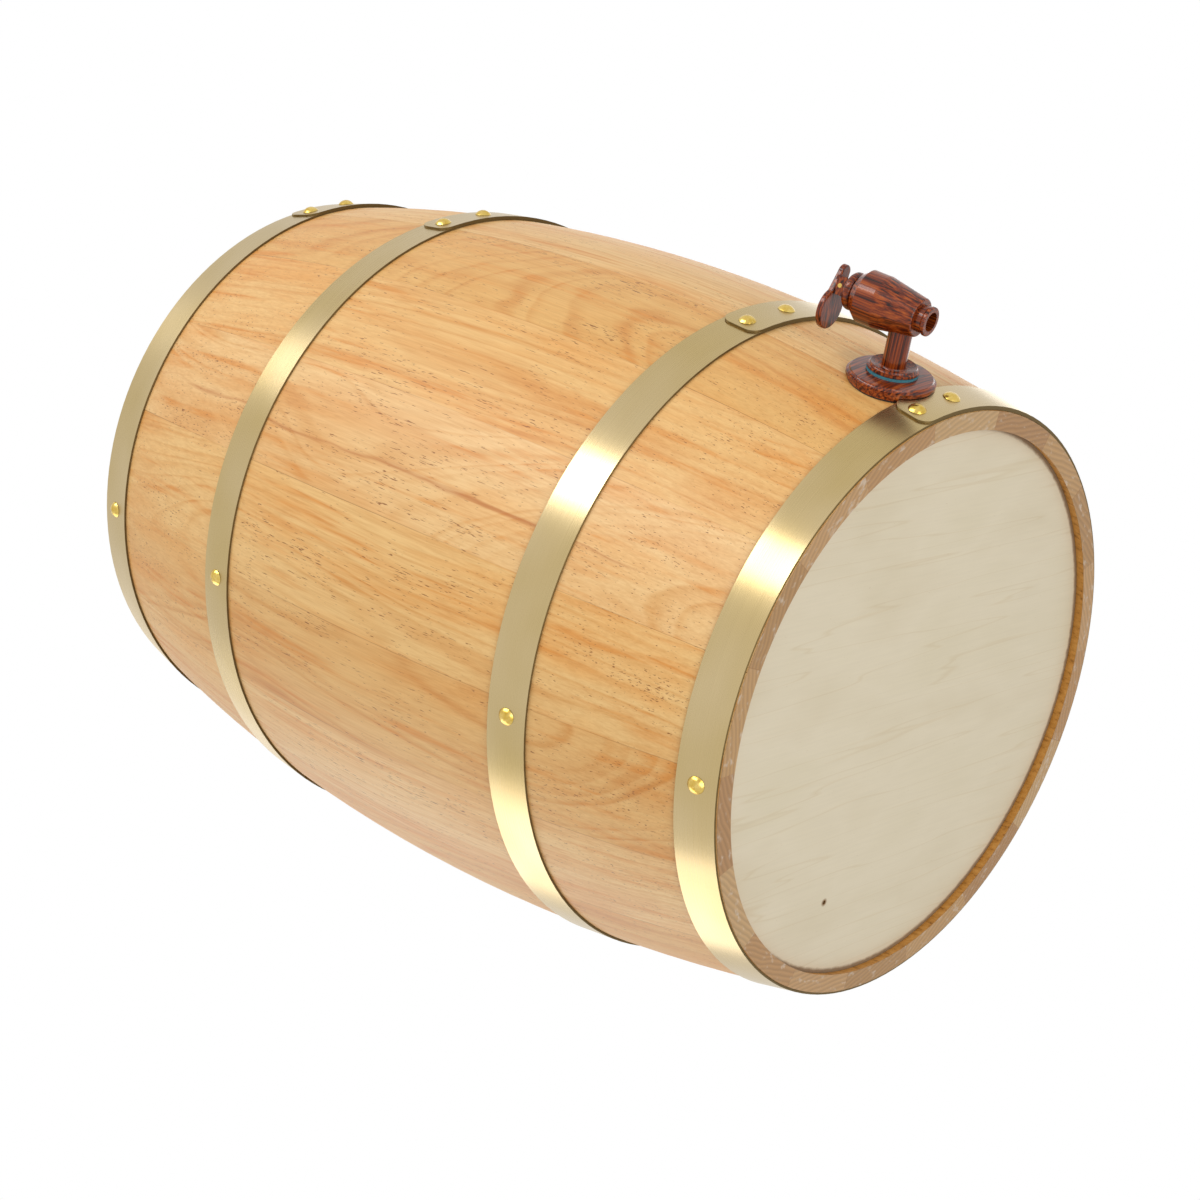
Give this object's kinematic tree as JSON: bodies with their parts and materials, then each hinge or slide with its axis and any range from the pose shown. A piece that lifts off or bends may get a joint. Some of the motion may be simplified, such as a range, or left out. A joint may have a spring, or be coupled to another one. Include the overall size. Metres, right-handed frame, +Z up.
{
  "type": "cask dispenser",
  "caption": "Small standing wooden cask with metal hoops, recessed heads, a lift-out bung and a turned wooden tap that a cam lever opens.",
  "frame": {"origin": "centre of the ring that the cask stands on, on the cask's axis in the plane of its bottom chime", "axes": "+Z up along the cask's axis, -Y out of the side that carries the tap, +X to the right of someone who faces the tap"},
  "size_m": [0.3288, 0.3593, 0.424],
  "materials": {
    "stave_pine": "satin",
    "head_plywood": "matte",
    "bung_wood": "matte",
    "tap_rosewood": "gloss",
    "hoop_metal": "brushed",
    "rivet_brass": "polished",
    "pin_brass": "satin",
    "tank_steel": "brushed",
    "spring_steel": "satin",
    "black_rubber": "matte",
    "teal_rubber": "matte",
    "nut_plastic": "satin"
  },
  "bodies": {
    "cask": {"stave_01": "stave_pine", "stave_02": "stave_pine", "stave_03": "stave_pine", "stave_04": "stave_pine", "stave_05": "stave_pine", "stave_06": "stave_pine", "stave_07": "stave_pine", "stave_08": "stave_pine", "stave_09": "stave_pine", "stave_10": "stave_pine", "stave_11": "stave_pine", "stave_12": "stave_pine", "stave_13": "stave_pine", "stave_14": "stave_pine", "stave_15": "stave_pine", "stave_16": "stave_pine", "stave_17": "stave_pine", "stave_18": "stave_pine", "bottom_head": "head_plywood", "top_head": "head_plywood", "inner_tank": "tank_steel", "hoop_one": "hoop_metal", "rivets_one": "rivet_brass", "hoop_two": "hoop_metal", "rivets_two": "rivet_brass", "hoop_three": "hoop_metal", "rivets_three": "rivet_brass", "hoop_four": "hoop_metal", "rivets_four": "rivet_brass", "wall_gasket": "black_rubber", "collar_gasket": "teal_rubber", "tank_washer": "black_rubber", "lock_nut": "nut_plastic", "tap_flange": "tap_rosewood", "tap_stem": "tap_rosewood", "valve_body": "tap_rosewood", "bonnet": "tap_rosewood", "rod_seal": "black_rubber"},
    "swivel": {"thrust_washer": "spring_steel", "return_spring": "spring_steel"},
    "plunger": {"plunger": "tap_rosewood", "valve_seal": "black_rubber"},
    "lever": {"lever": "tap_rosewood", "lever_pin": "pin_brass"},
    "bung": {"bung": "bung_wood"}
  },
  "joints": [
    {"name": "bung_lift", "type": "slide", "parent": "cask", "child": "bung", "axis": [0, 0, 1], "range_m": [0, 0.06]},
    {"name": "valve_swivel", "type": "hinge", "parent": "cask", "child": "swivel", "pos_m": [-0.00336, -0.18453, 0.06227], "axis": [-0.1045, -0.1298, 0.986], "continuous": true},
    {"name": "plunger_lift", "type": "slide", "parent": "swivel", "child": "plunger", "axis": [-0.1045, -0.1298, 0.986], "range_m": [0, 0.00136], "stiffness_N_per_m": 3, "springref_m": -0.006, "deforming": ["return_spring"]},
    {"name": "lever_tilt", "type": "hinge", "parent": "plunger", "child": "lever", "pos_m": [-0.00336, -0.18453, 0.06227], "axis": [0.9221, 0.3588, 0.145], "range_deg": [0, 36]}
  ],
  "couplings": [
    {"joint": "lever_tilt", "follows": "plunger_lift", "rad_per_m": 461.22}
  ]
}
